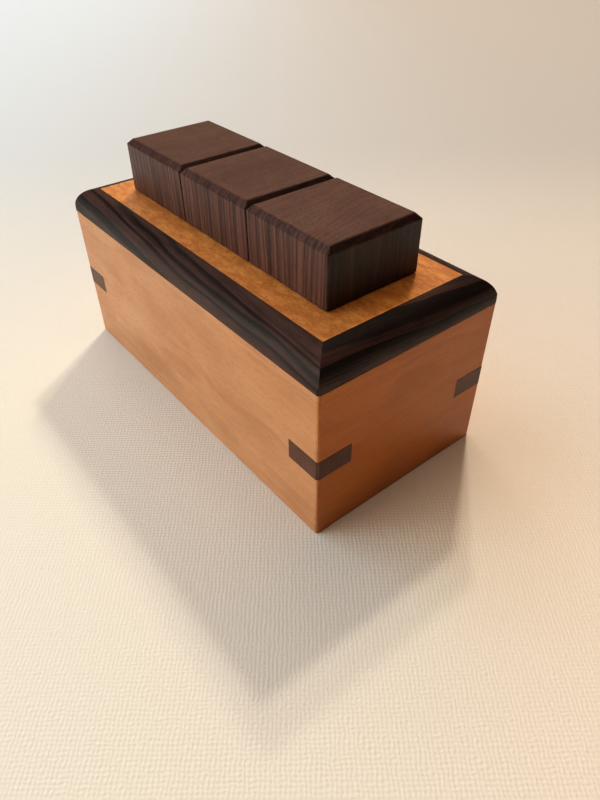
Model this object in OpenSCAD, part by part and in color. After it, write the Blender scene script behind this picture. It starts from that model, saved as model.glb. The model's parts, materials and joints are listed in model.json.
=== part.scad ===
// Wooden puzzle box: a mitred cherry case with a lift-off lid. Three wenge blocks on the lid
// slide to the front or the back, and each one carries a locking bolt under the lid. With the
// blocks in line the bolts are inside the lid's core and the lid lifts off. A block that is
// pushed out of line throws its bolt into the groove in the front or back wall.
// X runs from left to right, Y from front to back, Z up. All sizes are in millimetres.

/* [Case] */
// Outside length of the case, left to right
case_l = 101.6; // [84:0.2:140]
// Outside width of the case, front to back
case_w = 49.4; // [41:0.2:80]
// Height of the cherry walls
wall_h = 38.2; // [31:0.2:60]
// Thickness of the walls
wall_t = 7; // [5.8:0.1:9]
// Softened upright corners of the case and its lid
arris = 0.5; // [0.2:0.1:1]

/* [Base] */
// Thickness of the base panel
base_t = 3.2; // [2.4:0.1:5]
// Height of the base panel above the bottom edge of the walls
base_lift = 3.2; // [2.4:0.1:5]
// Depth of the groove that holds the base panel
base_groove = 3; // [2:0.1:4]

/* [Corner splines] */
// Thickness of a spline
spline_t = 4.9; // [2:0.1:7]
// How far a spline shows along each wall
spline_leg = 9; // [5:0.1:11]

/* [Lid] */
// Width of the quarter-round band, which is also its radius
band_w = 5.8; // [4:0.1:7.5]
// Upright part of the band below its round
band_flat = 0.4; // [0.2:0.1:3]
// Wood of the lid core above the bolt channels
core_roof = 4.2; // [3:0.1:8]
// Thickness of the keeper plate under the core
keeper_t = 2.4; // [1.8:0.1:4]

/* [Sliding blocks] */
// Bare panel beyond each end of the row of blocks
row_margin = 6.6; // [5:0.1:12]
// Width of a block, front to back
block_w = 24.6; // [20:0.1:30]
// Height of a block
block_h = 13; // [8:0.1:20]
// Chamfer round the top of a block
block_chamfer = 1.2; // [0.5:0.1:2.5]
// How far a block slides to the front or to the back
block_travel = 4.5; // [3.5:0.1:5.4]

/* [Bolts and their keys] */
// Width of a bolt, left to right
bolt_w = 9.6; // [7:0.1:12]
// Height of a bolt
bolt_h = 6; // [4.5:0.1:8]
// Length of the key that joins a block to its bolt, left to right
key_l = 8; // [6.6:0.1:9.6]
// Width of the key, front to back
key_w = 4.4; // [3.6:0.1:5.5]
// Depth of the key in the block
key_mortise = 4; // [2:0.1:6]
// Depth of the key in the bolt
key_seat = 1.5; // [1:0.1:2.5]

/* [Screws and magnets] */
// Radius of a screw's shank
screw_r = 0.9; // [0.6:0.05:1.1]
// Radius of a screw's countersunk head
screw_head_r = 1.7; // [1.3:0.05:2]
// Length of a bolt screw
bolt_screw_l = 12; // [8:0.5:15]
// Distance between the two screws of a bolt
bolt_screw_pitch = 4.4; // [3.6:0.1:5.4]
// Length of a keeper screw
keeper_screw_l = 9; // [6:0.5:10]
// Radius of a magnet
magnet_r = 1.5; // [1:0.1:2]
// Height of a magnet
magnet_h = 1.5; // [1:0.1:2]

/* [Fits] */
// Clearance of a wooden piece that slides
glide = 0.15; // [0.1:0.05:0.3]
// Clearance between the lid core and the walls
lid_fit = 0.25; // [0.15:0.05:0.5]
// Gap between two blocks
block_gap = 0.2; // [0.15:0.05:0.5]
// Room round the bolt's end in the wall groove
groove_room = 0.4; // [0.3:0.05:0.8]
// Clearance of a screw or magnet in its hole
seat = 0.05; // [0.03:0.01:0.1]

/* [Hidden] */
SIDES = ["left", "middle", "right"];
$fn = 48;
over = 1;                                   // how far a cut runs past the face it opens
cherry = [0.78, 0.50, 0.31];
maple = [0.86, 0.74, 0.56];
wenge = [0.29, 0.20, 0.17];
rosewood = [0.24, 0.15, 0.14];
brass = [0.80, 0.66, 0.36];
nickel = [0.75, 0.75, 0.74];

inner_l = case_l - 2 * wall_t;
inner_w = case_w - 2 * wall_t;
panel_l = case_l - 2 * band_w;
panel_w = case_w - 2 * band_w;
panel_t = band_w + band_flat;

// The lid core fills the mouth of the case, and its channels hold the bolts
core_l = inner_l - 2 * lid_fit;
core_w = inner_w - 2 * lid_fit;
channel_w = bolt_w + 2 * glide;
channel_h = bolt_h + 2 * glide;
core_t = core_roof + channel_h;
core_z = wall_h - core_t;
keeper_z = core_z - keeper_t;

// The row of three blocks stands in the middle of the panel
block_l = (panel_l - 2 * row_margin - 2 * block_gap) / len(SIDES);
block_pitch = block_l + block_gap;
block_z = wall_h + panel_t + glide;

// A bolt is a little shorter than the core is wide, so that it clears the walls at rest
bolt_recess = 0.1;
bolt_l = core_w - 2 * bolt_recess;
bolt_z = core_z + glide;
key_z = bolt_z + bolt_h - key_seat;
key_h = block_z + key_mortise - key_z;
wall_groove = block_travel - bolt_recess - lid_fit + groove_room;
wall_groove_z = bolt_z - groove_room;
wall_groove_h = bolt_h + 2 * groove_room;

// A bolt's magnet meets one of three in the keeper plate: front, in line or back
magnet_land = 2;
magnet_y = core_w / 2 - block_travel - magnet_r - magnet_land;

// Keeper screws stand in the lands between the channels
screw_edge = 4.5;
inner_land = block_pitch / 2;
end_land = (block_pitch + channel_w / 2 + core_l / 2) / 2;
keeper_screw_places = concat(
    [for (x = [-end_land, end_land], y = [-1, 1]) [x, y * (core_w / 2 - screw_edge)]],
    [for (x = [-inner_land, inner_land]) [x, 0]]
);
spline_z = (wall_h - spline_t) / 2;
base_room = 0.3;                            // lets the base panel swell in its groove
base_ease = 0.1;                            // height of the groove over the panel's thickness
slot_w = 0.4;                               // width of a screw's driver slot
slot_d = 0.5;                               // depth of that slot
screw_tip = 0.2;                            // radius of a screw's blunt tip

// Plan of a mitred strip. Its outside edge lies on the X axis and faces -Y
module mitred_plan(length, width) {
    half = length / 2;
    polygon([
        [-half + arris, 0], [half - arris, 0], [half - arris / 2, arris / 2],
        [half - width, width], [-half + width, width], [-half + arris / 2, arris / 2]
    ]);
}

// Plan of the cut that takes a spline, with the corner of the case at the origin
module spline_cut_plan() {
    polygon([[-over, -over], [spline_leg + over, -over], [-over, spline_leg + over]]);
}

// A wall on its own, facing -Y, with its outside face on the XZ plane
module wall(length, has_bolt_groove) {
    color(cherry) difference() {
        linear_extrude(wall_h) mitred_plan(length, wall_t);
        translate([-length / 2, wall_t - base_groove, base_lift])
            cube([length, base_groove + over, base_t + base_ease]);
        if (has_bolt_groove)
            translate([-length / 2, wall_t - wall_groove, wall_groove_z])
                cube([length, wall_groove + over, wall_groove_h]);
        for (side = [0, 1])
            mirror([side, 0, 0])
                translate([-length / 2, 0, spline_z])
                    linear_extrude(spline_t) spline_cut_plan();
    }
}

module base_panel() {
    tongue = base_groove - base_room;
    color(cherry)
        translate([-inner_l / 2 - tongue, -inner_w / 2 - tongue, base_lift])
            cube([inner_l + 2 * tongue, inner_w + 2 * tongue, base_t]);
}

// A spline fills the cut across one upright corner. x and y are -1 or 1 and choose the corner
module spline(x, y) {
    color(wenge)
        translate([x * case_l / 2, y * case_w / 2, spline_z])
            mirror([x > 0 ? 1 : 0, 0, 0]) mirror([0, y > 0 ? 1 : 0, 0])
                linear_extrude(spline_t)
                    polygon([[arris, 0], [spline_leg, 0], [0, spline_leg], [0, arris]]);
}

// Cross-section of the band: its outside face on the left, its round at the top left
module band_profile() {
    square([band_w, band_flat]);
    translate([band_w, band_flat]) intersection() {
        circle(band_w);
        translate([-band_w, 0]) square(band_w);
    }
}

// A band on its own, facing -Y, with its outside face on the XZ plane
module band(length) {
    color(rosewood) translate([0, 0, wall_h]) intersection() {
        linear_extrude(panel_t) mitred_plan(length, band_w);
        translate([-length / 2, 0, 0])
            rotate([90, 0, 90]) linear_extrude(length) band_profile();
    }
}

// Puts a wall or a band on one side of the case, turned from the front by a quarter turn each
module on_front() { translate([0, -case_w / 2, 0]) children(); }
module on_right() { translate([case_l / 2, 0, 0]) rotate(90) children(); }
module on_back() { translate([0, case_w / 2, 0]) rotate(180) children(); }
module on_left() { translate([-case_l / 2, 0, 0]) rotate(-90) children(); }

// Plan of the slot that a key slides in
module key_slot_plan() {
    square([key_l + 2 * glide, key_w + 2 * (block_travel + glide)], center = true);
}

module top_panel() {
    color(cherry) difference() {
        translate([-panel_l / 2, -panel_w / 2, wall_h]) cube([panel_l, panel_w, panel_t]);
        for (i = [-1 : 1])
            translate([i * block_pitch, 0, wall_h - over])
                linear_extrude(panel_t + 2 * over) key_slot_plan();
    }
}

// The core is glued under the panel. Its three channels are cut across its underside
module lid_core() {
    color(maple) difference() {
        translate([-core_l / 2, -core_w / 2, core_z]) cube([core_l, core_w, core_t]);
        for (i = [-1 : 1]) translate([i * block_pitch, 0, 0]) {
            translate([-channel_w / 2, -core_w / 2 - over, core_z - over])
                cube([channel_w, core_w + 2 * over, channel_h + over]);
            translate([0, 0, core_z]) linear_extrude(core_t + over) key_slot_plan();
        }
        for (place = keeper_screw_places)
            translate([place.x, place.y, keeper_z]) screw_hole(keeper_screw_l);
    }
}

// A countersunk screw that points up, with its head's face on the XY plane
module screw(length) {
    head_h = screw_head_r - screw_r;
    color(brass) difference() {
        union() {
            cylinder(h = head_h, r1 = screw_head_r, r2 = screw_r);
            cylinder(h = length - screw_r, r = screw_r);
            translate([0, 0, length - screw_r])
                cylinder(h = screw_r, r1 = screw_r, r2 = screw_tip);
        }
        translate([-screw_head_r - over, -slot_w / 2, -over])
            cube([2 * (screw_head_r + over), slot_w, slot_d + over]);
    }
}

// The hole for such a screw, opened below the face by the usual overrun
module screw_hole(length) {
    head_h = screw_head_r - screw_r;
    translate([0, 0, -over]) cylinder(h = length + seat + over, r = screw_r + seat);
    cylinder(h = head_h, r1 = screw_head_r + seat, r2 = screw_r + seat);
    translate([0, 0, -over]) cylinder(h = over, r = screw_head_r + seat);
}

module magnet() { color(nickel) cylinder(h = magnet_h, r = magnet_r); }

// The pocket for a magnet. The magnet's face is flush with the wood, and a glue gap lies behind
module magnet_pocket() {
    translate([0, 0, -seat]) cylinder(h = magnet_h + seat, r = magnet_r + seat);
    translate([0, 0, magnet_h / 2]) cylinder(h = magnet_h / 2 + over, r = magnet_r + seat);
}

// Children at each of the three places of a magnet in the keeper plate, for each bolt
module keeper_magnet_places() {
    for (i = [-1 : 1], step = [-1 : 1])
        translate([i * block_pitch, magnet_y + step * block_travel, core_z - magnet_h]) children();
}

module keeper_plate() {
    color(maple) difference() {
        translate([-core_l / 2, -core_w / 2, keeper_z]) cube([core_l, core_w, keeper_t]);
        for (place = keeper_screw_places)
            translate([place.x, place.y, keeper_z]) screw_hole(keeper_screw_l);
        keeper_magnet_places() magnet_pocket();
    }
}

module keeper_screws() {
    for (place = keeper_screw_places)
        translate([place.x, place.y, keeper_z]) screw(keeper_screw_l);
}

module keeper_magnets() { keeper_magnet_places() magnet(); }

// Cross-section of a block with its two upper corners taken off
module chamfered_face(length) {
    half = length / 2;
    polygon([
        [-half, 0], [half, 0], [half, block_h - block_chamfer],
        [half - block_chamfer, block_h], [-half + block_chamfer, block_h],
        [-half, block_h - block_chamfer]
    ]);
}

// i is -1, 0 or 1 for the left, middle or right block, and for what hangs from it
module block(i) {
    color(wenge) translate([i * block_pitch, 0, block_z]) difference() {
        intersection() {
            translate([0, block_w / 2, 0])
                rotate([90, 0, 0]) linear_extrude(block_w) chamfered_face(block_l);
            translate([-block_l / 2, 0, 0])
                rotate([90, 0, 90]) linear_extrude(block_l) chamfered_face(block_w);
        }
        translate([-key_l / 2, -key_w / 2, -over]) cube([key_l, key_w, key_mortise + over]);
    }
}

module bolt_screw_places(i) {
    for (side = [-1, 1])
        translate([i * block_pitch + side * bolt_screw_pitch / 2, 0, bolt_z]) children();
}

module key(i) {
    color(maple) difference() {
        translate([i * block_pitch - key_l / 2, -key_w / 2, key_z]) cube([key_l, key_w, key_h]);
        bolt_screw_places(i) screw_hole(bolt_screw_l);
    }
}

module bolt(i) {
    color(maple) difference() {
        translate([i * block_pitch - bolt_w / 2, -bolt_l / 2, bolt_z])
            cube([bolt_w, bolt_l, bolt_h]);
        translate([i * block_pitch - key_l / 2, -key_w / 2, key_z])
            cube([key_l, key_w, key_seat + over]);
        bolt_screw_places(i) screw_hole(bolt_screw_l);
        translate([i * block_pitch, magnet_y, bolt_z + magnet_h])
            mirror([0, 0, 1]) magnet_pocket();
    }
}

module bolt_screws(i) { bolt_screw_places(i) screw(bolt_screw_l); }

module bolt_magnet(i) { translate([i * block_pitch, magnet_y, bolt_z]) magnet(); }

on_front() wall(case_l, true);  // front_wall
on_back() wall(case_l, true);  // back_wall
on_left() wall(case_w, false);  // left_wall
on_right() wall(case_w, false);  // right_wall
base_panel();
spline(-1, -1);  // spline_front_left
spline(1, -1);  // spline_front_right
spline(-1, 1);  // spline_back_left
spline(1, 1);  // spline_back_right
top_panel();
on_front() band(case_l);  // band_front
on_back() band(case_l);  // band_back
on_left() band(case_w);  // band_left
on_right() band(case_w);  // band_right
lid_core();
keeper_plate();
keeper_screws();
keeper_magnets();
for (i = [-1 : 1]) {
    block(i);
    key(i);
    bolt(i);
    bolt_screws(i);
    bolt_magnet(i);
}
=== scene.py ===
# %% [markdown]
# # A small hardwood puzzle box
# The box is a mitred cherry case with a lift-off lid. Three wenge blocks slide on the lid, and each one
# carries a locking bolt under it. The solid model already says where every piece is and how it moves.
# This lesson gives the pieces their eased edges, their mouldings and fastenings, and their woods.
# Everything is in metres, in the frame of that solid model.

# %% Load the solid model
import json
import math
import random

import bmesh
import bpy
from mathutils import Matrix, Vector

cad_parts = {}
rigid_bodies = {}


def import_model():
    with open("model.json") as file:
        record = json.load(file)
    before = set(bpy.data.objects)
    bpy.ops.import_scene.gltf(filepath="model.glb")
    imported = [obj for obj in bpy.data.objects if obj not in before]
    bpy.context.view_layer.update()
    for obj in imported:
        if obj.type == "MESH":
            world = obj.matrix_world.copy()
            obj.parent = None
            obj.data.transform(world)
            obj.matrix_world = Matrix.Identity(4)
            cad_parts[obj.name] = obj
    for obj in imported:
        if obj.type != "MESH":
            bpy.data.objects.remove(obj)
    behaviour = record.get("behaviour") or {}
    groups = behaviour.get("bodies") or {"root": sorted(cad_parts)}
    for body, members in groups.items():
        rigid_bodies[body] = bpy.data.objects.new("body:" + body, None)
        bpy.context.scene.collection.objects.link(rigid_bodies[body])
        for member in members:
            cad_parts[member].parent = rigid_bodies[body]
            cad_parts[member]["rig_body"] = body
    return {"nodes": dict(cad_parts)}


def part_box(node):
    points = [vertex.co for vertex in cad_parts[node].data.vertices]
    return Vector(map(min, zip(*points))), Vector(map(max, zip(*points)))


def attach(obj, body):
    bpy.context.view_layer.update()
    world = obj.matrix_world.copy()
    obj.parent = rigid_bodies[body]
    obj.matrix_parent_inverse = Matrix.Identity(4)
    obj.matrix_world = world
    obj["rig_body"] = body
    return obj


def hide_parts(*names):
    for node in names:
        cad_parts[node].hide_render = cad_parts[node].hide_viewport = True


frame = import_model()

MM = 0.001
X, Y, Z = Vector((1, 0, 0)), Vector((0, 1, 0)), Vector((0, 0, 1))
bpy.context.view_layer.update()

# %% [markdown]
# ## Read the sizes that the looks depend on
# Nothing here is typed in twice. A maker would take these sizes from the finished parts with a rule, and
# the script takes them from the boxes of the solid model's nodes, so the looks follow if a part changes.

# %% Measure the case, the band and the blocks
case_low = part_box("left_wall")[0]
case_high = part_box("right_wall")[1]
case_length = case_high.x - case_low.x
case_width = 2 * abs(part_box("front_wall")[0].y)
wall_height = case_high.z
band_low, band_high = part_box("band_front")
band_width = band_high.y - band_low.y
band_height = band_high.z - band_low.z
print("case in mm:", [round(side / MM, 2) for side in (case_length, case_width, wall_height)])
print("band in mm:", [round(side / MM, 2) for side in (band_width, band_height)])

# %% [markdown]
# ## Camera
# The box is seen from a little above its near corner, from close by, so its upright edges lean together.
# A camera could be placed by hand, but a point to aim at, a distance and three angles say it better.

# %% Aim the camera at the front wall, near the corner
aim = Vector((0.449 * case_length, -case_width / 2, 0.898 * wall_height))
camera_distance = 117.5 * MM
camera_azimuth = math.radians(51.5)
camera_elevation = math.radians(40.3)
camera_roll = math.radians(-0.5)
camera_lens = 28.8


def new_object(name, data):
    """Puts a new object in the scene."""
    made = bpy.data.objects.new(name, data)
    bpy.context.scene.collection.objects.link(made)
    return made


camera = new_object("camera", bpy.data.cameras.new("camera"))
bpy.context.scene.camera = camera
camera.data.lens = camera_lens
camera.data.clip_start = 5 * MM
towards_camera = Vector((
    math.sin(camera_azimuth) * math.cos(camera_elevation),
    -math.cos(camera_azimuth) * math.cos(camera_elevation),
    math.sin(camera_elevation),
))
camera.location = aim + towards_camera * camera_distance
camera.rotation_mode = "QUATERNION"
level_turn = (-towards_camera).to_track_quat("-Z", "Y")
camera.rotation_quaternion = Matrix.Rotation(camera_roll, 3, towards_camera).to_quaternion() @ level_turn
print("camera at", [round(c, 4) for c in camera.location])

# %% [markdown]
# ## Small tools for building node trees
# A shader or a geometry tree is a list of nodes and wires. Long node code hides the idea behind it, so
# these helpers let one line say one step: a value is wired in if it is a socket, and typed in if not.

# %% Helpers for nodes
def plug(tree, socket, value):
    """Wires a socket into another one, or sets the plain value."""
    if isinstance(value, bpy.types.NodeSocket):
        tree.links.new(value, socket)
    else:
        socket.default_value = value


def add(tree, kind, settings=None, **inputs):
    """Adds a node, with its settings, and plugs its inputs by their names, written with _ for a space."""
    node = tree.nodes.new(kind)
    for name, value in (settings or {}).items():
        setattr(node, name, value)
    for name, value in inputs.items():
        plug(tree, node.inputs[name.replace("_", " ")], value)
    return node


def maths(tree, operation, *values, clamp=False):
    """One sum on numbers, such as MULTIPLY or POWER."""
    node = add(tree, "ShaderNodeMath", {"operation": operation, "use_clamp": clamp})
    for socket, value in zip(node.inputs, values):
        plug(tree, socket, value)
    return node.outputs[0]


def vectors(tree, operation, *values):
    """One sum on vectors."""
    node = add(tree, "ShaderNodeVectorMath", {"operation": operation})
    for socket, value in zip(node.inputs, values):
        plug(tree, socket, value)
    return node.outputs["Value" if operation in ("LENGTH", "DISTANCE", "DOT_PRODUCT") else "Vector"]


def scaled(tree, vector, factor):
    """A vector times one number."""
    node = add(tree, "ShaderNodeVectorMath", {"operation": "SCALE"})
    plug(tree, node.inputs[0], vector)
    plug(tree, node.inputs["Scale"], factor)
    return node.outputs[0]


def join(tree, x, y, z):
    """A vector from three numbers."""
    return add(tree, "ShaderNodeCombineXYZ", X=x, Y=y, Z=z).outputs[0]


def split(tree, vector):
    """The three numbers of a vector."""
    return add(tree, "ShaderNodeSeparateXYZ", Vector=vector).outputs


def noise(tree, vector, scale, detail=2.0, roughness=0.5):
    """Soft random values, from 0 to 1."""
    node = add(tree, "ShaderNodeTexNoise", Vector=vector, Scale=scale, Detail=detail, Roughness=roughness)
    return node.outputs[0]


def ramp(tree, value, low, high, start=0.0, end=1.0):
    """Changes a value from the range low..high to start..end, and stops it at both ends."""
    node = add(tree, "ShaderNodeMapRange", {"interpolation_type": "SMOOTHSTEP"}, Value=value)
    for name, number in (("From Min", low), ("From Max", high), ("To Min", start), ("To Max", end)):
        plug(tree, node.inputs[name], number)
    return node.outputs[0]


def choose(tree, test, yes, no):
    """A number that is yes where the test is 1, and no where it is 0."""
    node = add(tree, "ShaderNodeMix", {"data_type": "FLOAT"})
    for socket, value in ((node.inputs[0], test), (node.inputs[2], no), (node.inputs[3], yes)):
        plug(tree, socket, value)
    return node.outputs[0]


def blend_colours(tree, share, first, second, mode="MIX"):
    """Mixes two colours. A share of 1 gives the second one."""
    node = add(tree, "ShaderNodeMix", {"data_type": "RGBA", "blend_type": mode})
    for socket, value in ((node.inputs[0], share), (node.inputs[6], first), (node.inputs[7], second)):
        plug(tree, socket, value)
    return node.outputs[2]


def new_group(name, kind, takes, gives):
    """An empty node group with named sockets. Returns it, what it takes and what it gives."""
    group = bpy.data.node_groups.new(name, kind)
    for direction, sockets in (("INPUT", takes), ("OUTPUT", gives)):
        for label, socket_kind, *value in sockets:
            socket = group.interface.new_socket(
                label, in_out=direction, socket_type="NodeSocket" + socket_kind)
            if value:
                socket.default_value = value[0]
    return group, group.nodes.new("NodeGroupInput").outputs, group.nodes.new("NodeGroupOutput").inputs


def place_group(tree, group, **inputs):
    """Puts a shader group in a material. Returns what it gives."""
    node = tree.nodes.new("ShaderNodeGroup")
    node.node_tree = group
    for name, value in inputs.items():
        plug(tree, node.inputs[name.replace("_", " ")], value)
    return node.outputs


print("node helpers ready")

# %% [markdown]
# ## The inside of a tree
# A plank shows the rings of the tree it was sawn from, and the same rings run on round its corner to the
# end grain. A flat picture of wood can't do that. So each plank remembers where in a tree it was cut, in
# an attribute named plank, in millimetres: along the grain, and the two ways across it from the pith. A
# shader then works out rings, fibres and pores at every point, and all faces of a plank agree.
#
# Three patterns make the figure. Rings are the distance from the pith, bent by a slow drift, and each
# one darkens through its summer and ends sharply in its winter. Fibres are noise that is drawn out along
# the grain. Clouds are the soft patches that light makes in wavy grain.

# %% Shader group: rings, fibres and figure
figure, taken, given = new_group(
    "wood figure", "ShaderNodeTree",
    (("Plank", "Vector"), ("Ring width", "Float", 2.0), ("Waviness", "Float", 2.0),
     ("Unevenness", "Float", 0.5), ("Fibre width", "Float", 0.25), ("Fibre length", "Float", 12.0),
     ("Cloud size", "Float", 7.0)),
    (("Rings", "Float"), ("Fibre", "Float"), ("Clouds", "Float")),
)
along, across, through = split(figure, taken["Plank"])
drift_along, drift_across = 0.02, 0.09      # how fast the drift changes per millimetre
slow = join(figure, maths(figure, "MULTIPLY", along, drift_along),
            maths(figure, "MULTIPLY", across, drift_across),
            maths(figure, "MULTIPLY", through, drift_across))
drift = add(figure, "ShaderNodeTexNoise", Vector=slow, Scale=1.0, Detail=2.0).outputs["Color"]
drift = vectors(figure, "MULTIPLY", vectors(figure, "SUBTRACT", drift, (0.5, 0.5, 0.5)), (0, 2, 2))
bent = vectors(figure, "ADD", taken["Plank"], scaled(figure, drift, taken["Waviness"]))
from_pith = vectors(figure, "LENGTH", vectors(figure, "MULTIPLY", bent, (0, 1, 1)))
years = maths(figure, "DIVIDE", from_pith, taken["Ring width"])
years_apart, years_off = 0.45, 6.0          # how often fat and lean years change, and by how much
year_line = join(figure, maths(figure, "MULTIPLY", years, years_apart), 0.0, 0.0)
fat_and_lean = noise(figure, year_line, 1.0, 3.0)
shift = maths(figure, "MULTIPLY", taken["Unevenness"], years_off)
age = maths(figure, "FRACT", maths(figure, "MULTIPLY_ADD", fat_and_lean, shift, years))
spring_end, summer_end, winter_start = 0.15, 0.88, 0.9
summer = ramp(figure, age, spring_end, summer_end)
winter = ramp(figure, age, winter_start, 1.0, 1.0, 0.0)
plug(figure, given["Rings"], maths(figure, "MULTIPLY", summer, winter))
thin = join(figure, maths(figure, "DIVIDE", along, taken["Fibre length"]),
            maths(figure, "DIVIDE", across, taken["Fibre width"]),
            maths(figure, "DIVIDE", through, taken["Fibre width"]))
darkest, palest = 0.3, 0.7                  # the noise between these makes the whole change of tone
plug(figure, given["Fibre"], ramp(figure, noise(figure, thin, 1.0, 3.0, 0.6), darkest, palest))
long_clouds = join(figure, maths(figure, "MULTIPLY", along, 0.5), across, through)
cloud = scaled(figure, long_clouds, maths(figure, "DIVIDE", 1.0, taken["Cloud size"]))
plug(figure, given["Clouds"], ramp(figure, noise(figure, cloud, 1.0, 3.0, 0.55), darkest, palest))
print("wood figure:", len(figure.nodes), "nodes")

# %% [markdown]
# ## Pores
# A sanded plank cuts the tree's vessels open. Along the grain they are short dark dashes, and on the end
# grain they are dots. A cell pattern that is stretched along the grain gives both from one rule.

# %% Shader group: pores
pores, taken, given = new_group(
    "pores", "ShaderNodeTree",
    (("Plank", "Vector"), ("Width", "Float", 0.3), ("Length", "Float", 4.0), ("Size", "Float", 0.3)),
    (("Mask", "Float"),),
)
along, across, through = split(pores, taken["Plank"])
cells = join(pores, maths(pores, "DIVIDE", along, taken["Length"]),
             maths(pores, "DIVIDE", across, taken["Width"]),
             maths(pores, "DIVIDE", through, taken["Width"]))
distance = add(pores, "ShaderNodeTexVoronoi", Vector=cells, Scale=1.0).outputs["Distance"]
plug(pores, given["Mask"], ramp(pores, distance, 0.0, taken["Size"], 1.0, 0.0))
print("pores:", len(pores.nodes), "nodes")

# %% [markdown]
# ## Handling
# A puzzle box is picked up all the time. Its edges are rubbed pale and smooth, and its faces keep a faint
# patchy gloss from fingers. The rubbed edges come from an attribute named edge, which is 1 on an eased
# edge and 0 on a face, broken up so that no edge is worn evenly.

# %% Shader group: handling
handling, taken, given = new_group(
    "handling", "ShaderNodeTree",
    (("Place", "Vector"), ("Edge", "Float"), ("Patch size", "Float", 12.0)),
    (("Worn", "Float"), ("Smudge", "Float")),
)
wear_scale, wear_from, wear_to = 0.6, 0.35, 0.65
patchy = ramp(handling, noise(handling, taken["Place"], wear_scale, 3.0), wear_from, wear_to)
plug(handling, given["Worn"], maths(handling, "MULTIPLY", taken["Edge"], patchy))
wide = add(handling, "ShaderNodeVectorMath", {"operation": "DIVIDE"})
plug(handling, wide.inputs[0], taken["Place"])
size = taken["Patch size"]
plug(handling, wide.inputs[1], join(handling, size, size, size))
fingers = noise(handling, wide.outputs[0], 1.0, 4.0, 0.6)
plug(handling, given["Smudge"], ramp(handling, fingers, darkest, palest))
print("handling:", len(handling.nodes), "nodes")

# %% [markdown]
# ## One recipe for every wood
# Cherry, wenge, rosewood and maple differ in colour, in the pitch and contrast of their rings, and in
# their pores. The recipe is the same, so it is one function, and each wood is a short list of values.
#
# Two more attributes change it from face to face. Where end_grain is 1 the stripes calm down towards one
# tone, because sawn-off fibres show no length. Where tone_and_shade is 1 the colour is multiplied by a
# darker tint: for a board with a deeper tone of its own, and for painted shade on faces that stand in
# shade.

# %% The wood recipe
finger_patch = 14.0                         # millimetres across a patch of finger marks
worn_share = 0.4                            # how much of a rubbed edge's own colour shows
smudge_dulls, pore_dulls, wear_dulls = 0.12, 0.15, -0.08
fibre_depth = 0.5                           # depth of a fibre's groove, if a pore's is 1


def new_material(name):
    """A new material. Returns it, its tree and its shader."""
    material = bpy.data.materials.new(name)
    material.use_nodes = True
    return material, material.node_tree, material.node_tree.nodes["Principled BSDF"]


def wood(name, early, late, pore, rings_of, ring_share, fibre_share, cloud_share, fibre, pores_of,
         end_share, gloss, shine, bump, edge_colour, cloud_size=7.0, end_tone=0.3,
         tone_and_shade_tint=(0.90, 0.53, 0.08)):
    """A wood, with its sizes in millimetres. early and late are its two colours, and the shares say how
    far each pattern takes it from one to the other. rings_of is ring width, waviness and unevenness.
    fibre is width and length. pores_of is width, length, size and darkness. end_share is how much of the
    stripes is left on end grain, over end_tone. tone_and_shade_tint is the darker tint of a deeper board
    and of the painted shade on a shaded face. gloss is the roughness, shine the specular level and bump
    the depth of the open grain."""
    material, tree, shader = new_material(name)
    plank = add(tree, "ShaderNodeAttribute", {"attribute_name": "plank"}).outputs["Vector"]
    edge = add(tree, "ShaderNodeAttribute", {"attribute_name": "edge"}).outputs["Fac"]
    end_grain = add(tree, "ShaderNodeAttribute", {"attribute_name": "end_grain"}).outputs["Fac"]
    tone_and_shade = add(tree, "ShaderNodeAttribute", {"attribute_name": "tone_and_shade"}).outputs["Fac"]
    shown = place_group(tree, figure, Plank=plank, Ring_width=rings_of[0], Waviness=rings_of[1],
                        Unevenness=rings_of[2], Fibre_width=fibre[0], Fibre_length=fibre[1],
                        Cloud_size=cloud_size)
    holes = place_group(tree, pores, Plank=plank, Width=pores_of[0], Length=pores_of[1], Size=pores_of[2])
    touched = place_group(tree, handling, Place=plank, Edge=edge, Patch_size=finger_patch)
    calm = maths(tree, "MULTIPLY", end_grain, 1.0 - end_share)
    rings = maths(tree, "MULTIPLY", shown["Rings"], ring_share)
    fibres = maths(tree, "MULTIPLY", shown["Fibre"], fibre_share)
    clouds = maths(tree, "MULTIPLY", shown["Clouds"], cloud_share)
    stripes = choose(tree, calm, end_tone, maths(tree, "ADD", rings, fibres))
    share = maths(tree, "ADD", stripes, clouds, clamp=True)
    colour = blend_colours(tree, share, (*early, 1), (*late, 1))
    # the tint carries a board's own deeper tone, and painted shade on the faces that stand in shade
    colour = blend_colours(tree, tone_and_shade, colour, (*tone_and_shade_tint, 1), "MULTIPLY")
    colour = blend_colours(tree, maths(tree, "MULTIPLY", holes["Mask"], pores_of[3]), colour, (*pore, 1))
    worn = maths(tree, "MULTIPLY", touched["Worn"], worn_share)
    colour = blend_colours(tree, worn, colour, (*edge_colour, 1))
    plug(tree, shader.inputs["Base Color"], colour)
    dull = maths(tree, "MULTIPLY_ADD", touched["Smudge"], smudge_dulls, gloss)
    dull = maths(tree, "MULTIPLY_ADD", holes["Mask"], pore_dulls, dull)
    plug(tree, shader.inputs["Roughness"], maths(tree, "MULTIPLY_ADD", touched["Worn"], wear_dulls, dull))
    grooves = maths(tree, "MULTIPLY", shown["Fibre"], -fibre_depth)
    height = maths(tree, "MULTIPLY_ADD", holes["Mask"], -1.0, grooves)
    relief = add(tree, "ShaderNodeBump", Height=height, Strength=0.6, Distance=bump * MM)
    plug(tree, shader.inputs["Normal"], relief.outputs[0])
    shader.inputs["Specular IOR Level"].default_value = shine
    return material


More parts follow.
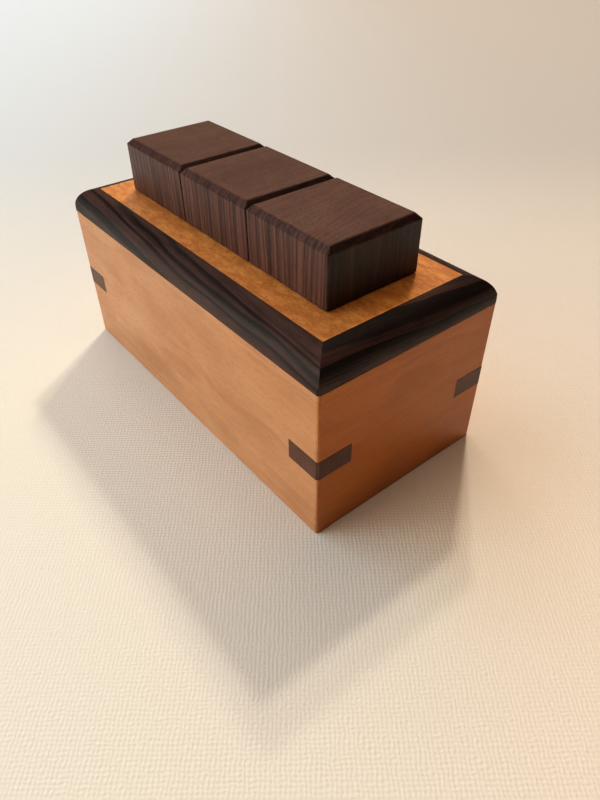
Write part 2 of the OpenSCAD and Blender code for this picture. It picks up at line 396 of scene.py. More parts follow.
# %% [markdown]
# ## Four woods, six finishes
# The case is cherry, oiled to a satin orange brown with a faint cloudy figure. The lid's panel is a
# livelier piece of cherry, with small mottled clouds and a warmer tone. The blocks are wenge, near black
# with thin paler layers, and end grain on top that shows them only faintly. The corner splines are a
# paler, finer wenge. The band is a rosewood, dark and purplish with long streaks. What is hidden under
# the lid is plain maple, which wears well.

# %% Cherry, wenge, rosewood and maple
woods = {
    "cherry": wood(
        "cherry", early=(0.64, 0.288, 0.122), late=(0.49, 0.195, 0.070), pore=(0.30, 0.085, 0.018),
        rings_of=(3.6, 5.0, 0.6), ring_share=0.3, fibre_share=0.4, cloud_share=0.55, fibre=(0.36, 9.0),
        pores_of=(0.36, 2.2, 0.4, 0.4), end_share=0.8, gloss=0.3, shine=0.3, bump=0.02,
        edge_colour=(0.66, 0.29, 0.11), cloud_size=9.0),
    "panel cherry": wood(
        "panel cherry", early=(0.86, 0.430, 0.150), late=(0.56, 0.215, 0.060), pore=(0.32, 0.095, 0.020),
        rings_of=(4.0, 4.0, 0.6), ring_share=0.25, fibre_share=0.45, cloud_share=0.8, fibre=(0.4, 1.6),
        pores_of=(0.55, 1.3, 0.45, 0.6), end_share=0.8, gloss=0.3, shine=0.3, bump=0.03,
        edge_colour=(0.66, 0.29, 0.11), cloud_size=1.7),
    # wenge's tone_and_shade_tint is the colour of the painted shade on the blocks' chamfers and row-facing
    # faces
    "wenge": wood(
        "wenge", early=(0.009, 0.0025, 0.0018), late=(0.155, 0.054, 0.039), pore=(0.006, 0.002, 0.0015),
        rings_of=(1.9, 2.0, 1.0), ring_share=0.45, fibre_share=0.42, cloud_share=0.1, fibre=(0.75, 60.0),
        pores_of=(0.34, 2.6, 0.42, 0.6), end_share=0.3, gloss=0.42, shine=0.24, bump=0.06,
        edge_colour=(0.10, 0.044, 0.032), cloud_size=6.0, end_tone=0.37, tone_and_shade_tint=(0.34, 0.29, 0.28)),
    "spline wenge": wood(
        "spline wenge", early=(0.056, 0.0180, 0.0095), late=(0.135, 0.050, 0.029),
        pore=(0.016, 0.006, 0.004), rings_of=(1.2, 1.4, 0.9), ring_share=0.3, fibre_share=0.5,
        cloud_share=0.25, fibre=(0.3, 8.0), pores_of=(0.3, 2.0, 0.35, 0.6), end_share=0.5, gloss=0.42,
        shine=0.25, bump=0.04, edge_colour=(0.12, 0.055, 0.040), cloud_size=4.0),
    "rosewood": wood(
        "rosewood", early=(0.066, 0.0265, 0.0205), late=(0.0085, 0.0050, 0.0045),
        pore=(0.005, 0.002, 0.0015), rings_of=(3.0, 3.4, 0.8), ring_share=0.8, fibre_share=0.45,
        cloud_share=0.25, fibre=(0.26, 20.0), pores_of=(0.26, 2.6, 0.36, 0.6), end_share=0.7, gloss=0.38,
        shine=0.14, bump=0.04, edge_colour=(0.05, 0.03, 0.026), cloud_size=5.0),
    "maple": wood(
        "maple", early=(0.62, 0.42, 0.24), late=(0.46, 0.28, 0.14), pore=(0.36, 0.21, 0.10),
        rings_of=(2.6, 3.0, 0.5), ring_share=0.35, fibre_share=0.25, cloud_share=0.25, fibre=(0.3, 14.0),
        pores_of=(0.2, 1.2, 0.25, 0.3), end_share=0.8, gloss=0.5, shine=0.4, bump=0.015,
        edge_colour=(0.56, 0.37, 0.21)),
}
print("woods:", sorted(woods))

# %% [markdown]
# ## Two metals
# The screws are turned brass, with fine tool marks. The magnets are nickel plated. Both tarnish in small
# patches. A painted picture could carry the marks, but these pieces are tiny and have no flat layout, so
# both metals read Object coordinates, turned from metres to millimetres.

# %% Brass and nickel
tarnish_patch = 1.5                         # millimetres across a patch of tarnish
tarnish_share, tarnish_dulls, marks_dull = 0.7, 0.15, 0.1
mark_depth = 0.01 * MM


def metal(name, bright, dull_colour, gloss, tool_marks):
    """A plated or turned metal. tool_marks is how many fine marks there are in a millimetre, each way."""
    material, tree, shader = new_material(name)
    place = add(tree, "ShaderNodeTexCoord").outputs["Object"]
    in_mm = vectors(tree, "MULTIPLY", place, (1 / MM, 1 / MM, 1 / MM))
    touched = place_group(tree, handling, Place=in_mm, Edge=0.0, Patch_size=tarnish_patch)
    marks = noise(tree, vectors(tree, "MULTIPLY", in_mm, tool_marks), 1.0, 3.0, 0.7)
    tarnish = maths(tree, "MULTIPLY", touched["Smudge"], tarnish_share)
    plug(tree, shader.inputs["Base Color"], blend_colours(tree, tarnish, (*bright, 1), (*dull_colour, 1)))
    rough = maths(tree, "MULTIPLY_ADD", touched["Smudge"], tarnish_dulls, gloss)
    plug(tree, shader.inputs["Roughness"], maths(tree, "MULTIPLY_ADD", marks, marks_dull, rough))
    relief = add(tree, "ShaderNodeBump", Height=marks, Strength=0.4, Distance=mark_depth)
    plug(tree, shader.inputs["Normal"], relief.outputs[0])
    shader.inputs["Metallic"].default_value = 1.0
    return material


finishes = dict(woods)
finishes["brass"] = metal("brass", (0.78, 0.57, 0.25), (0.52, 0.36, 0.15), 0.24, (9.0, 9.0, 2.0))
finishes["nickel"] = metal("nickel", (0.72, 0.70, 0.66), (0.55, 0.53, 0.49), 0.2, (6.0, 6.0, 6.0))
print("finishes:", sorted(finishes))

# %% [markdown]
# ## From a sharp solid to a worked plank
# The solid model's planks have perfectly sharp edges, which no sanded wood has. Each plank is copied, its
# loose triangles are joined to whole faces, and chosen edges are eased with a small round. A Bevel
# modifier could do that, but then it would also open the mitres, where two planks meet tight. So a rule
# picks the edges first: only sharp outward ones, none that is too short, and none that lies in a joint.

# %% Ease, mark and finish a plank
weld = 0.002 * MM                           # points nearer than this are one point


def is_joint(face):
    """True for a mitre face of the case, which points inwards along a diagonal."""
    normal = face.normal
    if abs(normal.z) > 0.1 or abs(abs(normal.x) - abs(normal.y)) > 0.1:
        return False
    middle = face.calc_center_median()
    outwards = Vector((math.copysign(1, middle.x), math.copysign(1, middle.y), 0))
    return normal.dot(outwards) < 0.5


def rounded_edges(solid, shortest):
    """The edges to ease: outward, sharp, longer than shortest, and clear of the joints."""
    sharp = math.radians(20)
    chosen = []
    for edge in solid.edges:
        if len(edge.link_faces) != 2 or edge.calc_length() < shortest:
            continue
        if edge.calc_face_angle_signed(0.0) > sharp and not any(is_joint(f) for f in edge.link_faces):
            chosen.append(edge)
    return chosen


def store(mesh_data, name, domain, values):
    """Stores a named number for each point or face of a mesh."""
    attribute = mesh_data.attributes.new(name, "FLOAT", domain)
    attribute.data.foreach_set("value", list(values))


def mark_plank(mesh_data, grain, across, tree_place):
    """Stores where each point was in the tree, and how squarely each face cuts the grain."""
    through = grain.cross(across)
    centre = sum((v.co for v in mesh_data.vertices), Vector()) / len(mesh_data.vertices)
    plank = mesh_data.attributes.new("plank", "FLOAT_VECTOR", "POINT")
    for point, value in zip(mesh_data.vertices, plank.data):
        offset = (point.co - centre) / MM
        in_board = Vector((offset.dot(grain), offset.dot(across), offset.dot(through)))
        value.vector = Vector(tree_place) + in_board
    store(mesh_data, "end_grain", "FACE", [abs(face.normal.dot(grain)) ** 2 for face in mesh_data.polygons])


def same_tone(normal):
    """The rule of a board with no painted shade on any face, so every face is as deep in colour."""
    return 0.0


def leave(solid):
    """Does nothing to a plank."""


def worked_plank(node, wood_name, grain, across, tree_place, ease=0.25, shortest=2.0, tone_and_shade=0.0,
                 shade_by_normal=same_tone, shape=leave):
    """Copies a node as a plank with eased edges, replaces the node with it and gives it its wood.
    tone_and_shade is how much darker the whole board is painted, for its own deeper tone and for painted
    shade, and shade_by_normal adds painted shade to it by a face's normal. shape is what is done to the
    plank before its edges are eased."""
    solid = bmesh.new()
    solid.from_mesh(frame["nodes"][node].data)
    bmesh.ops.remove_doubles(solid, verts=solid.verts, dist=weld)
    flat = math.radians(0.5)
    bmesh.ops.dissolve_limit(solid, angle_limit=flat, verts=solid.verts, edges=solid.edges)
    for face in solid.faces:
        face.smooth = False
    shape(solid)
    if ease:
        edges = rounded_edges(solid, shortest * MM)
        made = bmesh.ops.bevel(solid, geom=edges, offset=ease * MM, segments=3, profile=0.5,
                               affect="EDGES", clamp_overlap=True)
        for face in made["faces"]:
            face.smooth = True
    small = (3 * max(ease, 0.01) * MM) ** 2     # a face with less area than this is part of an edge
    worn = [all(f.smooth or f.calc_area() < small for f in v.link_faces) for v in solid.verts]
    data = bpy.data.meshes.new(node + "_wood")
    solid.to_mesh(data)
    solid.free()
    mark_plank(data, grain, across, tree_place)
    store(data, "edge", "POINT", [float(is_worn) for is_worn in worn])
    # painted shade, together with a board's own deeper tone, stored face by face
    store(data, "tone_and_shade", "FACE", [tone_and_shade + shade_by_normal(face.normal) for face in data.polygons])
    data.materials.append(finishes[wood_name])
    return finish_piece(new_object(node + "_wood", data), wood_name.split()[-1], node)


def finish_piece(piece, slot, *nodes):
    """Attaches a piece to the body of its first node and hides the nodes it stands for. slot is not used.
    """
    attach(piece, frame["nodes"][nodes[0]]["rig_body"])
    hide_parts(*nodes)
    return piece


print("plank helpers ready")

# %% [markdown]
# ## The case
# Four cherry walls are mitred at the corners, and the grain runs round the box along each of them. A
# wall's place in the tree sets its figure: a long way from the pith the rings are nearly straight lines.
# The two end walls come from nearer the heart, and both get painted shade, a darker tint in their colour,
# because the right end stands in shade. The base panel sits in its groove, with its grain along the box.

# %% Walls and base
# each wall: its grain, the way across it, its place in the tree, and its painted shade
walls = {
    "front_wall": (X, Z, (0, 14, 62), 0.0),
    "right_wall": (Y, Z, (90, 11, 58), 1.0),
    "back_wall": (-X, Z, (190, 16, 66), 0.0),
    "left_wall": (-Y, Z, (270, 9, 60), 1.0),
}
for name, (grain, across, tree_place, tone_and_shade) in walls.items():
    wall = worked_plank(name, "cherry", grain, across, tree_place, ease=0.22, tone_and_shade=tone_and_shade)
    print(wall.name, len(wall.data.polygons), "faces")
worked_plank("base_panel", "cherry", X, Y, (40, 30, 45), ease=0.2)

# %% [markdown]
# ## Corner splines
# Each corner is cut across and a wenge key is glued in, which holds the mitre and shows as a dark band
# round the corner. Its grain runs from wall to wall, at 45 degrees, so it is as strong as it can be. It
# is sanded flush with the walls, so its edges stay sharp against them.

# %% Splines
for number, (x, y) in enumerate(((-1, -1), (1, -1), (-1, 1), (1, 1))):
    name = "spline_" + ("front" if y < 0 else "back") + ("_left" if x < 0 else "_right")
    worked_plank(name, "spline wenge", Vector((x, -y, 0)).normalized(), Z, (35 * number, 5, 70), ease=0)
print("four splines")

# %% [markdown]
# ## The lid's panel, the core and the keeper plate
# The panel lies flush with the top of the band, and its wood is a little deeper than the front wall's.
# Under it are the maple core, with its channels for the bolts, and the thin plate that closes them.

# %% Panel, core and keeper plate
worked_plank("top_panel", "panel cherry", X, Y, (150, 6, 38), ease=0, tone_and_shade=0.6)
worked_plank("lid_core", "maple", X, Y, (20, 30, 50), ease=0.25, shortest=6.0)
worked_plank("keeper_plate", "maple", X, Y, (60, 42, 30), ease=0.2, shortest=6.0)
print("panel, core and plate")

# %% [markdown]
# ## The sliding blocks, their keys and their bolts
# The three blocks are sawn in a row from one stick of wenge, with the grain upright and the layers
# standing across the row, so the front faces show upright stripes and the tops show end grain. Each key
# is glued upright in its block, and each bolt lies across the lid.
#
# Wenge's pale layers are brittle, so the edge under the front and back chamfers is broken into chips. A
# bump in the material would leave that edge straight, so the mesh itself is chipped. Each block has a
# seed of its own, so the blocks differ from each other but come out the same every time.

# %% Blocks, keys and bolts
chip_points = 44                            # points along an edge, and every second one is chipped
chip_small, chip_large = 0.12 * MM, 0.42 * MM
chip_stray = 0.14 * MM                      # how far a point strays along its edge


def is_chamfer(normal):
    """True for a face that slopes up towards the top of a block."""
    return 0.3 < normal.z < 0.95


def block_painted_shade(normal):
    """How much painted shade a block's face gets: the chamfers are darkened, most of all the ones that face
    along the row, into the grooves between blocks and at the ends of the row, and the faces that look along
    the row are darker, as shade falls on them."""
    if is_chamfer(normal):
        return 0.4 + 0.85 * abs(normal.x)
    return abs(normal.x) ** 4


def chip_chamfers(solid, chance):
    """Breaks the lower edges of the front and back chamfers into small chips."""
    solid.normal_update()
    edges = []
    for edge in solid.edges:
        sloping = any(is_chamfer(face.normal) and abs(face.normal.y) > 0.5 for face in edge.link_faces)
        if sloping and any(abs(face.normal.y) > 0.95 for face in edge.link_faces):
            edges.append(edge)
    made = bmesh.ops.subdivide_edges(solid, edges=edges, cuts=chip_points)
    points = [part for part in made["geom_inner"] if isinstance(part, bmesh.types.BMVert)]
    points.sort(key=lambda point: (point.co.y > 0, point.co.x))
    for index, point in enumerate(points):
        point.co.x += chance.uniform(-chip_stray, chip_stray)
        point.co.z -= chance.uniform(chip_small, chip_large) * (index % 2)


# Each block's faces get painted shade by their normals: darker chamfers, darkest in the grooves between
# blocks, and darker faces along the row.
for number, side in enumerate(("left", "middle", "right")):
    lean = Matrix.Rotation(math.radians(8 + 3 * number), 3, "Z")
    chance = random.Random(number)
    worked_plank("block_" + side, "wenge", Z, lean @ -Y, (27 * number, 12, 95 + 25 * number), ease=0.3,
                 shade_by_normal=block_painted_shade, shape=lambda solid: chip_chamfers(solid, chance))
    worked_plank("key_" + side, "maple", Z, X, (25 * number, 8, 40), ease=0)
    worked_plank("bolt_" + side, "maple", Y, X, (45 * number, 12, 35), ease=0.3, shortest=5.0)
print("three blocks, keys and bolts")

# %% [markdown]
# ## Quarter-round band
# The lid's frame is four strips of quarter-round moulding, mitred like a picture frame. A strip's shape
# is a rule: a profile, a length, and ends that close in by as much as the point is deep, with a small
# flat where two strips make a corner. So Geometry Nodes build it from a handful of named sizes. A sweep
# along a closed rectangle would also make the round, but its grain would bend round the corners, and real
# strips are four straight pieces.

# %% Geometry Nodes: a mitred strip of quarter-round
def inputs_of(group):
    """The identifiers of a tree's inputs, by their names."""
    return {item.name: item.identifier for item in group.interface.items_tree
            if item.item_type == "SOCKET" and item.in_out == "INPUT"}


def grow(tree, name, points=(), **values):
    """Runs a geometry tree on an object of bare points, and returns what it made as a plain object."""
    seed = bpy.data.meshes.new(name + "_points")
    seed.from_pydata([tuple(p) for p in points], [], [])
    maker = new_object(name + "_maker", seed)
    modifier = maker.modifiers.new("maker", "NODES")
    modifier.node_group = tree
    identifiers = inputs_of(tree)
    for label, value in values.items():
        modifier[identifiers[label.replace("_", " ")]] = value
    graph = bpy.context.evaluated_depsgraph_get()
    made = bpy.data.meshes.new_from_object(maker.evaluated_get(graph))
    maker.modifiers.remove(modifier)
    bpy.data.objects.remove(maker)
    made.name = name
    print(name, len(made.polygons), "faces")
    return new_object(name, made)


def finish_tree(tree, geometry, material, output, sharp_angle):
    """Smooth shading with sharp edges kept, then the two nodes that every tree here ends in."""
    smooth = add(tree, "GeometryNodeSetShadeSmooth", {"domain": "FACE"}, Geometry=geometry)
    bend = tree.nodes.new("GeometryNodeInputMeshEdgeAngle").outputs["Unsigned Angle"]
    sharp = maths(tree, "GREATER_THAN", bend, math.radians(sharp_angle))
    crisp = add(tree, "GeometryNodeSetShadeSmooth", {"domain": "EDGE"}, Geometry=smooth.outputs[0],
                Selection=sharp, Shade_Smooth=False)
    real = add(tree, "GeometryNodeRealizeInstances", Geometry=crisp.outputs[0])
    coated = add(tree, "GeometryNodeSetMaterial", Geometry=real.outputs[0], Material=material)
    plug(tree, output, coated.outputs[0])


strip, taken, given = new_group(
    "mitred quarter round", "GeometryNodeTree",
    (("Length", "Float"), ("Width", "Float"), ("Upright", "Float"), ("Corner", "Float"),
     ("Ease", "Float"), ("Steps", "Int", 28), ("Tree place", "Vector"), ("Run out", "Float", 0.05),
     ("Turn", "Float"), ("Move", "Vector"), ("Finish", "Material")),
    (("Strip", "Geometry"),),
)
half_corner = maths(strip, "MULTIPLY", taken["Corner"], 0.5)
# the profile's corners after its round, each by its depth and its height
under = ((0.0, taken["Ease"]), (taken["Ease"], 0.0), (half_corner, 0.0), (taken["Width"], 0.0))
ring = maths(strip, "ADD", taken["Steps"], 1.0 + len(under))
blank = add(strip, "GeometryNodeMeshCylinder", {"fill_type": "TRIANGLE_FAN"}, Vertices=ring,
            Side_Segments=1)
index = strip.nodes.new("GeometryNodeInputIndex").outputs[0]
far_end = maths(strip, "GREATER_THAN", index, maths(strip, "ADD", ring, 0.5))
counted = maths(strip, "SUBTRACT", index, 1.0)
step = maths(strip, "SUBTRACT", counted, maths(strip, "MULTIPLY", far_end, ring))
before = maths(strip, "LESS_THAN", step, -0.5)
after = maths(strip, "GREATER_THAN", step, maths(strip, "SUBTRACT", ring, 0.5))
end_middle = maths(strip, "MAXIMUM", before, after)
sweep = maths(strip, "MULTIPLY", maths(strip, "DIVIDE", step, taken["Steps"]), math.pi / 2)
depth = maths(strip, "MULTIPLY", taken["Width"], maths(strip, "SUBTRACT", 1.0, maths(strip, "SINE", sweep)))
height = maths(strip, "MULTIPLY_ADD", taken["Width"], maths(strip, "COSINE", sweep), taken["Upright"])
for number, (inwards, upwards) in enumerate(under):
    reached = maths(strip, "GREATER_THAN", step, maths(strip, "ADD", taken["Steps"], number + 0.5))
    depth = choose(strip, reached, inwards, depth)
    height = choose(strip, reached, upwards, height)
depth = choose(strip, end_middle, half_corner, depth)
height = choose(strip, end_middle, taken["Upright"], height)
set_back = maths(strip, "MAXIMUM", depth, maths(strip, "SUBTRACT", taken["Corner"], depth))
half = maths(strip, "SUBTRACT", maths(strip, "MULTIPLY", taken["Length"], 0.5), set_back)
side = maths(strip, "MULTIPLY_ADD", far_end, -2.0, 1.0)
spot = join(strip, maths(strip, "MULTIPLY", half, side), depth, height)
shaped = add(strip, "GeometryNodeSetPosition", Geometry=blank.outputs["Mesh"], Position=spot)
here = strip.nodes.new("GeometryNodeInputPosition").outputs[0]
in_mm = vectors(strip, "MULTIPLY", here, (1 / MM, 1 / MM, 1 / MM))
in_tree = vectors(strip, "ADD", in_mm, taken["Tree place"])
slant = maths(strip, "MULTIPLY", split(strip, in_tree)[0], taken["Run out"])
in_tree = vectors(strip, "ADD", in_tree, join(strip, 0.0, slant, slant))
marked = add(strip, "GeometryNodeStoreNamedAttribute", {"data_type": "FLOAT_VECTOR", "domain": "POINT"},
             Geometry=shaped.outputs[0], Name="plank", Value=in_tree)
turned = add(strip, "GeometryNodeTransform", Geometry=marked.outputs[0], Translation=taken["Move"],
             Rotation=join(strip, 0.0, 0.0, taken["Turn"]))
finish_tree(strip, turned.outputs[0], taken["Finish"], given["Strip"], 25)
print("strip tree:", len(strip.nodes), "nodes")

# %% Grow the four strips of the band
upright = band_height - band_width
flat_reach = (case_high.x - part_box("front_wall")[1].x) * 2  # how far a corner's flat reaches each way
sides = {
    "band_front": (case_length, 0, Vector((0, -case_width / 2, wall_height)), (0, 20, 44)),
    "band_right": (case_width, 90, Vector((case_length / 2, 0, wall_height)), (70, 24, 52)),
    "band_back": (case_length, 180, Vector((0, case_width / 2, wall_height)), (160, 18, 47)),
    "band_left": (case_width, 270, Vector((-case_length / 2, 0, wall_height)), (240, 21, 56)),
}
for name, (length, turn, move, tree_place) in sides.items():
    moulding = grow(strip, name + "_moulding", Length=length, Width=band_width, Upright=upright,
                    Corner=flat_reach, Ease=0.08 * MM, Steps=28, Tree_place=tree_place,
                    Turn=math.radians(turn), Move=move, Finish=finishes["rosewood"])
    finish_piece(moulding, "rosewood", name)

# %% [markdown]
# ## Screws
# Small countersunk wood screws hold the keeper plate to the core, and the bolts to their keys. One screw
# is a lathe job: at every height it has one radius, which is the largest of its head and its thread, cut
# off by its tip. The tree works that out from named sizes, saws the slot, and sets a screw on each point.

# %% Geometry Nodes: countersunk screws
def bar_to_turn(tree, sides, rings):
    """A round bar of radius 1 and height 1, and the three coordinates of its points."""
    bar = add(tree, "GeometryNodeMeshCylinder", {"fill_type": "NGON"}, Vertices=sides,
              Side_Segments=rings, Radius=1.0, Depth=1.0)
    return bar.outputs["Mesh"], *split(tree, tree.nodes.new("GeometryNodeInputPosition").outputs[0])


def turn(tree, bar, bar_x, bar_y, radius, height):
    """The bar with the given radius and height at each of its points."""
    across, through = maths(tree, "MULTIPLY", bar_x, radius), maths(tree, "MULTIPLY", bar_y, radius)
    spot = join(tree, across, through, height)
    return add(tree, "GeometryNodeSetPosition", Geometry=bar, Position=spot).outputs[0]


def set_on_points(tree, points, shape):
    """A copy of a shape at each point, made real so that its edges can be told sharp or smooth."""
    placed = add(tree, "GeometryNodeInstanceOnPoints", Points=points, Instance=shape)
    return add(tree, "GeometryNodeRealizeInstances", Geometry=placed.outputs[0]).outputs[0]


screws, taken, given = new_group(
    "countersunk screws", "GeometryNodeTree",
    (("Places", "Geometry"), ("Length", "Float"), ("Head radius", "Float"), ("Shank radius", "Float"),
     ("Pitch", "Float"), ("Thread depth", "Float"), ("Ease", "Float"), ("Slot width", "Float"),
     ("Slot depth", "Float"), ("Finish", "Material")),
    (("Screws", "Geometry"),),
)
thread_starts = 0.35                        # the share of the length that has no thread
tip_taper, tip_radius = 0.8, 0.15 * MM
bar, bar_x, bar_y, bar_z = bar_to_turn(screws, 24, 80)
up = maths(screws, "MULTIPLY", maths(screws, "ADD", bar_z, 0.5), taken["Length"])
angle = maths(screws, "ARCTAN2", bar_y, bar_x)
winds = maths(screws, "SUBTRACT", maths(screws, "DIVIDE", up, taken["Pitch"]),
              maths(screws, "DIVIDE", angle, 2 * math.pi))
ridge = maths(screws, "MULTIPLY", maths(screws, "PINGPONG", winds, 0.5), 2.0)
cut = maths(screws, "MULTIPLY", maths(screws, "SUBTRACT", 1.0, ridge), taken["Thread depth"])
threaded = maths(screws, "GREATER_THAN", up, maths(screws, "MULTIPLY", taken["Length"], thread_starts))
thread = maths(screws, "SUBTRACT", taken["Shank radius"], maths(screws, "MULTIPLY", cut, threaded))
head = maths(screws, "SUBTRACT", taken["Head radius"], up)
to_tip = maths(screws, "SUBTRACT", taken["Length"], up)
tip = maths(screws, "MULTIPLY_ADD", to_tip, tip_taper, tip_radius)
rim = maths(screws, "ADD", maths(screws, "SUBTRACT", taken["Head radius"], taken["Ease"]), up)
uncut = maths(screws, "MAXIMUM", head, thread)
radius = maths(screws, "MINIMUM", uncut, maths(screws, "MINIMUM", tip, rim))
saw_size = join(screws, maths(screws, "MULTIPLY", taken["Head radius"], 3.0), taken["Slot width"],
                maths(screws, "MULTIPLY", taken["Slot depth"], 2.0))
saw = add(screws, "GeometryNodeMeshCube", Size=saw_size)
slotted = add(screws, "GeometryNodeMeshBoolean", {"operation": "DIFFERENCE"})
plug(screws, slotted.inputs[0], turn(screws, bar, bar_x, bar_y, radius, up))
plug(screws, slotted.inputs[1], saw.outputs[0])
all_screws = set_on_points(screws, taken["Places"], slotted.outputs[0])
finish_tree(screws, all_screws, taken["Finish"], given["Screws"], 32)
print("screw tree:", len(screws.nodes), "nodes")

# %% [markdown]
# A node that holds several screws says where they all are: each screw is one loose part of its mesh, and
# the middle of its head is the lowest point on its axis. So the places are read, not typed.

# %% Find the parts of a node and set the screws
def loose_parts(node):
    """The boxes of a node's separate parts, as pairs of corners."""
    solid = bmesh.new()
    solid.from_mesh(frame["nodes"][node].data)
    bmesh.ops.remove_doubles(solid, verts=solid.verts, dist=weld)
    left, boxes = set(solid.verts), []
    while left:
        edge_of_part, part = [left.pop()], []
        while edge_of_part:
            point = edge_of_part.pop()
            part.append(point.co.copy())
            for link in point.link_edges:
                other = link.other_vert(point)
                if other in left:
                    left.remove(other)
                    edge_of_part.append(other)
        low = Vector(map(min, zip(*part)))
        high = Vector(map(max, zip(*part)))
        boxes.append((low, high))
    solid.free()
    return sorted(boxes, key=lambda corners: tuple(corners[0]))


def set_screws(node):
    """Grows the screws of one node where its parts stand."""
    parts = loose_parts(node)
    low, high = parts[0]
    head_radius = (high.x - low.x) / 2
    points = [((a.x + b.x) / 2, (a.y + b.y) / 2, a.z) for a, b in parts]
    made = grow(screws, node + "_turned", points, Length=high.z - low.z, Head_radius=head_radius,
                Shank_radius=0.53 * head_radius, Pitch=0.7 * MM, Thread_depth=0.22 * MM, Ease=0.08 * MM,
                Slot_width=0.4 * MM, Slot_depth=0.5 * MM, Finish=finishes["brass"])
    finish_piece(made, "brass", node)
    return len(parts)


print("keeper screws:", set_screws("keeper_screws"))
for side in ("left", "middle", "right"):
    print("bolt screws:", set_screws("bolt_screws_" + side))

# %% [markdown]
# ## Magnets
# Small disc magnets hold each block in line, forward or back. A disc with a rounded rim is again one
# radius for each height, so a second small tree lathes it and sets one on each point.

# %% Geometry Nodes: disc magnets
discs, taken, given = new_group(
    "disc magnets", "GeometryNodeTree",
    (("Places", "Geometry"), ("Radius", "Float"), ("Thickness", "Float"), ("Rim", "Float"),
     ("Finish", "Material")),
    (("Discs", "Geometry"),),
)
rim_steps = 3                               # steps in the round of a rim
rings_up = 2 * (rim_steps + 1)
bar, bar_x, bar_y, bar_z = bar_to_turn(discs, 40, rings_up)
level = maths(discs, "MULTIPLY", bar_z, float(rings_up))
from_middle = maths(discs, "ABSOLUTE", level)
far = maths(discs, "MINIMUM", maths(discs, "SUBTRACT", from_middle, 1.0), float(rim_steps))
along_rim = maths(discs, "DIVIDE", maths(discs, "MAXIMUM", far, 0.0), float(rim_steps))
lean = maths(discs, "MULTIPLY", along_rim, math.pi / 2)
drop = maths(discs, "SUBTRACT", 1.0, maths(discs, "COSINE", lean))
rise = maths(discs, "SUBTRACT", 1.0, maths(discs, "SINE", lean))
radius = maths(discs, "SUBTRACT", taken["Radius"], maths(discs, "MULTIPLY", taken["Rim"], drop))
half = maths(discs, "SUBTRACT", maths(discs, "MULTIPLY", taken["Thickness"], 0.5),
             maths(discs, "MULTIPLY", taken["Rim"], rise))
ends = maths(discs, "MULTIPLY", maths(discs, "SIGN", level), maths(discs, "MINIMUM", from_middle, 1.0))
disc = turn(discs, bar, bar_x, bar_y, radius, maths(discs, "MULTIPLY", half, ends))
finish_tree(discs, set_on_points(discs, taken["Places"], disc), taken["Finish"], given["Discs"], 40)


def set_magnets(node):
    """Grows the magnets of one node where its parts lie."""
    parts = loose_parts(node)
    low, high = parts[0]
    points = [tuple((a + b) / 2) for a, b in parts]
    made = grow(discs, node + "_discs", points, Radius=(high.x - low.x) / 2, Thickness=high.z - low.z,
                Rim=0.15 * MM, Finish=finishes["nickel"])
    finish_piece(made, "nickel", node)
    return len(parts)


print("keeper magnets:", set_magnets("keeper_magnets"))
for side in ("left", "middle", "right"):
    print("bolt magnet:", set_magnets("bolt_magnet_" + side))

# %% [markdown]
# ## The floor
# The box stands on a pale sheet with a faint cloth-like tooth. A plain plane would do for the shape, and
# its material carries the tooth as a fine bump: two sets of threads that cross, uneven ones, and a little
# fuzz. Light and shade are painted into the sheet's colour: cream with a warmer painted light of sand in
# front, and a darker painted shade of grey and beige behind. It is staging, so it isn't part of the object.

# %% Pale sheet
floor_size = 4.0
reach = floor_size / 2
floor_mesh = bpy.data.meshes.new("floor")
floor_mesh.from_pydata([(-reach, -reach, 0), (reach, -reach, 0), (reach, reach, 0), (-reach, reach, 0)], [],
                       [(0, 1, 2, 3)])
floor = new_object("floor", floor_mesh)

thread = 0.8 * MM
thread_wander, thread_share = 8.0, 0.22
slubs, fuzz = 420.0, 1300.0                 # how many uneven patches and fibres there are in a metre
tooth_height = 0.07 * MM
# cream is the sheet; sand is painted warm light, and grey and beige are painted shade
cream, sand_painted_light = (0.78, 0.715, 0.625, 1), (0.83, 0.70, 0.585, 1)
painted_shade_grey, painted_shade_beige = (0.61, 0.62, 0.635, 1), (0.54, 0.47, 0.42, 1)
backwards = Vector((-towards_camera.x, -towards_camera.y, 0)).normalized()
sideways = Vector((-towards_camera.y, towards_camera.x, 0)).normalized()

sheet, tree, shader = new_material("pale sheet")
place = add(tree, "ShaderNodeTexCoord").outputs["Object"]
away = vectors(tree, "DOT_PRODUCT", place, tuple(backwards))
aside = vectors(tree, "DOT_PRODUCT", place, tuple(sideways))
uneven = noise(tree, place, slubs, 3.0)
waves = []
for line in (away, aside):
    threads = maths(tree, "MULTIPLY", line, 2 * math.pi / thread)
    waves.append(maths(tree, "SINE", maths(tree, "MULTIPLY_ADD", uneven, thread_wander, threads)))
tooth = maths(tree, "MULTIPLY_ADD", maths(tree, "ADD", *waves), thread_share, noise(tree, place, fuzz, 2.0))
# the limits of these ramps are metres from the middle of the case
# painted light and shade: warm sand to the right in front, darker grey and beige behind, set by the
# camera's azimuth
near_painted_light = blend_colours(tree, ramp(tree, aside, -0.06, 0.08), cream, sand_painted_light)
far_painted_shade = blend_colours(tree, ramp(tree, aside, -0.2, 0.15), painted_shade_grey, painted_shade_beige)
painted_shade_behind = ramp(tree, away, -0.02, 0.2)
plug(tree, shader.inputs["Base Color"], blend_colours(tree, painted_shade_behind, near_painted_light, far_painted_shade))
relief = add(tree, "ShaderNodeBump", Height=tooth, Strength=0.8, Distance=tooth_height)
plug(tree, shader.inputs["Normal"], relief.outputs[0])
shader.inputs["Roughness"].default_value = 0.9
floor.data.materials.append(sheet)
print("floor:", floor_size, "m across")

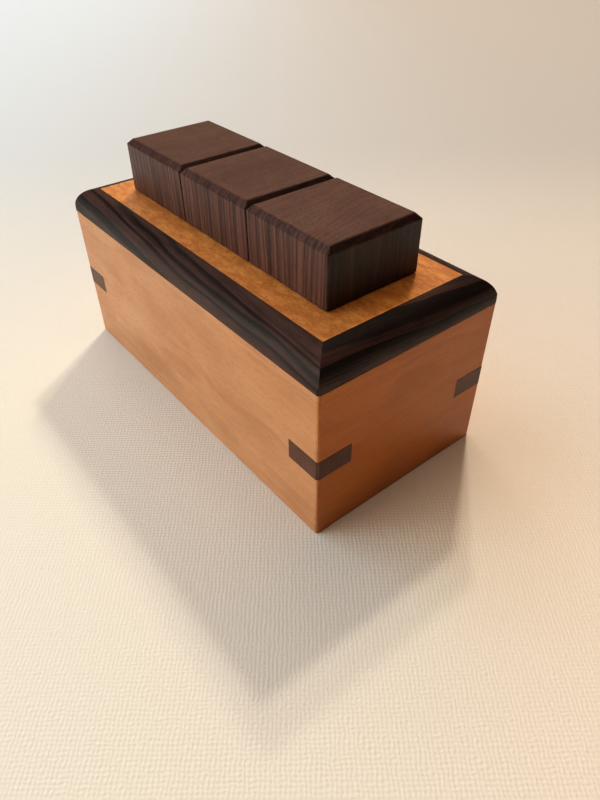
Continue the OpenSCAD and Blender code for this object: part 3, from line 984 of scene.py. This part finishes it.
# %% [markdown]
# ## Soft studio light
# Two key lamps stand high behind the box, so the shadow falls towards the viewer with a soft double edge.
# Warm panels overhead and behind light the tops, and cool lamps at the left and a low panel at the front
# light the long wall. The right end gets little but the light that comes back from the sheet, and its
# painted shade keeps it a deep brown. The key lamps and the cool ones make no glare, as if they shone
# through a polarising filter, so the woods keep their colour.

# %% Lights and world
def softbox(name, azimuth, elevation, distance, size, power, colour):
    """A square area light that faces the middle of the case. Azimuth 0 is the front, 90 the right end."""
    lamp = new_object(name, bpy.data.lights.new(name, "AREA"))
    a, e = math.radians(azimuth), math.radians(elevation)
    back = Vector((math.sin(a) * math.cos(e), -math.cos(a) * math.cos(e), math.sin(e)))
    lamp.location = Z * wall_height / 2 + back * distance
    lamp.rotation_mode = "QUATERNION"
    lamp.rotation_quaternion = (-back).to_track_quat("-Z", "Y")
    lamp.data.size = size
    lamp.data.energy = power
    lamp.data.color = colour
    return lamp


lamps = (
    # name, azimuth, elevation, distance, size, power, colour, whether it makes glare
    ("key", 215, 48, 3.5, 0.18, 40, (1.0, 0.97, 0.81), False),
    ("second key", 220, 43, 3.5, 0.16, 26, (1.0, 0.95, 0.78), False),
    ("cool front left", -48, 38, 1.2, 0.9, 6.6, (0.52, 0.77, 1.0), False),
    ("cool left", -90, 30, 1.2, 0.9, 4.4, (0.60, 0.80, 1.0), False),
    ("low front", -25, 10, 2.4, 1.6, 41, (1.0, 0.96, 0.77), True),
    ("warm overhead", 0, 88, 1.3, 1.0, 5.6, (1.0, 0.78, 0.58), True),
    ("warm back left", 232, 42, 2.6, 1.8, 20, (1.0, 0.68, 0.42), True),
)
for *lamp_values, glare in lamps:
    softbox(*lamp_values).visible_glossy = glare

world_light, world_seen = 0.01, 0.6         # how bright the world is as a lamp, and behind the floor
world = bpy.data.worlds.new("studio")
bpy.context.scene.world = world
world.use_nodes = True
background = world.node_tree.nodes["Background"]
background.inputs["Color"].default_value = (1.0, 0.93, 0.85, 1)
seen = world.node_tree.nodes.new("ShaderNodeLightPath").outputs["Is Camera Ray"]
strength = ramp(world.node_tree, seen, 0.0, 1.0, world_light, world_seen)
plug(world.node_tree, background.inputs["Strength"], strength)
bpy.context.scene.view_settings.view_transform = "Standard"     # colours as they are, with no film curve
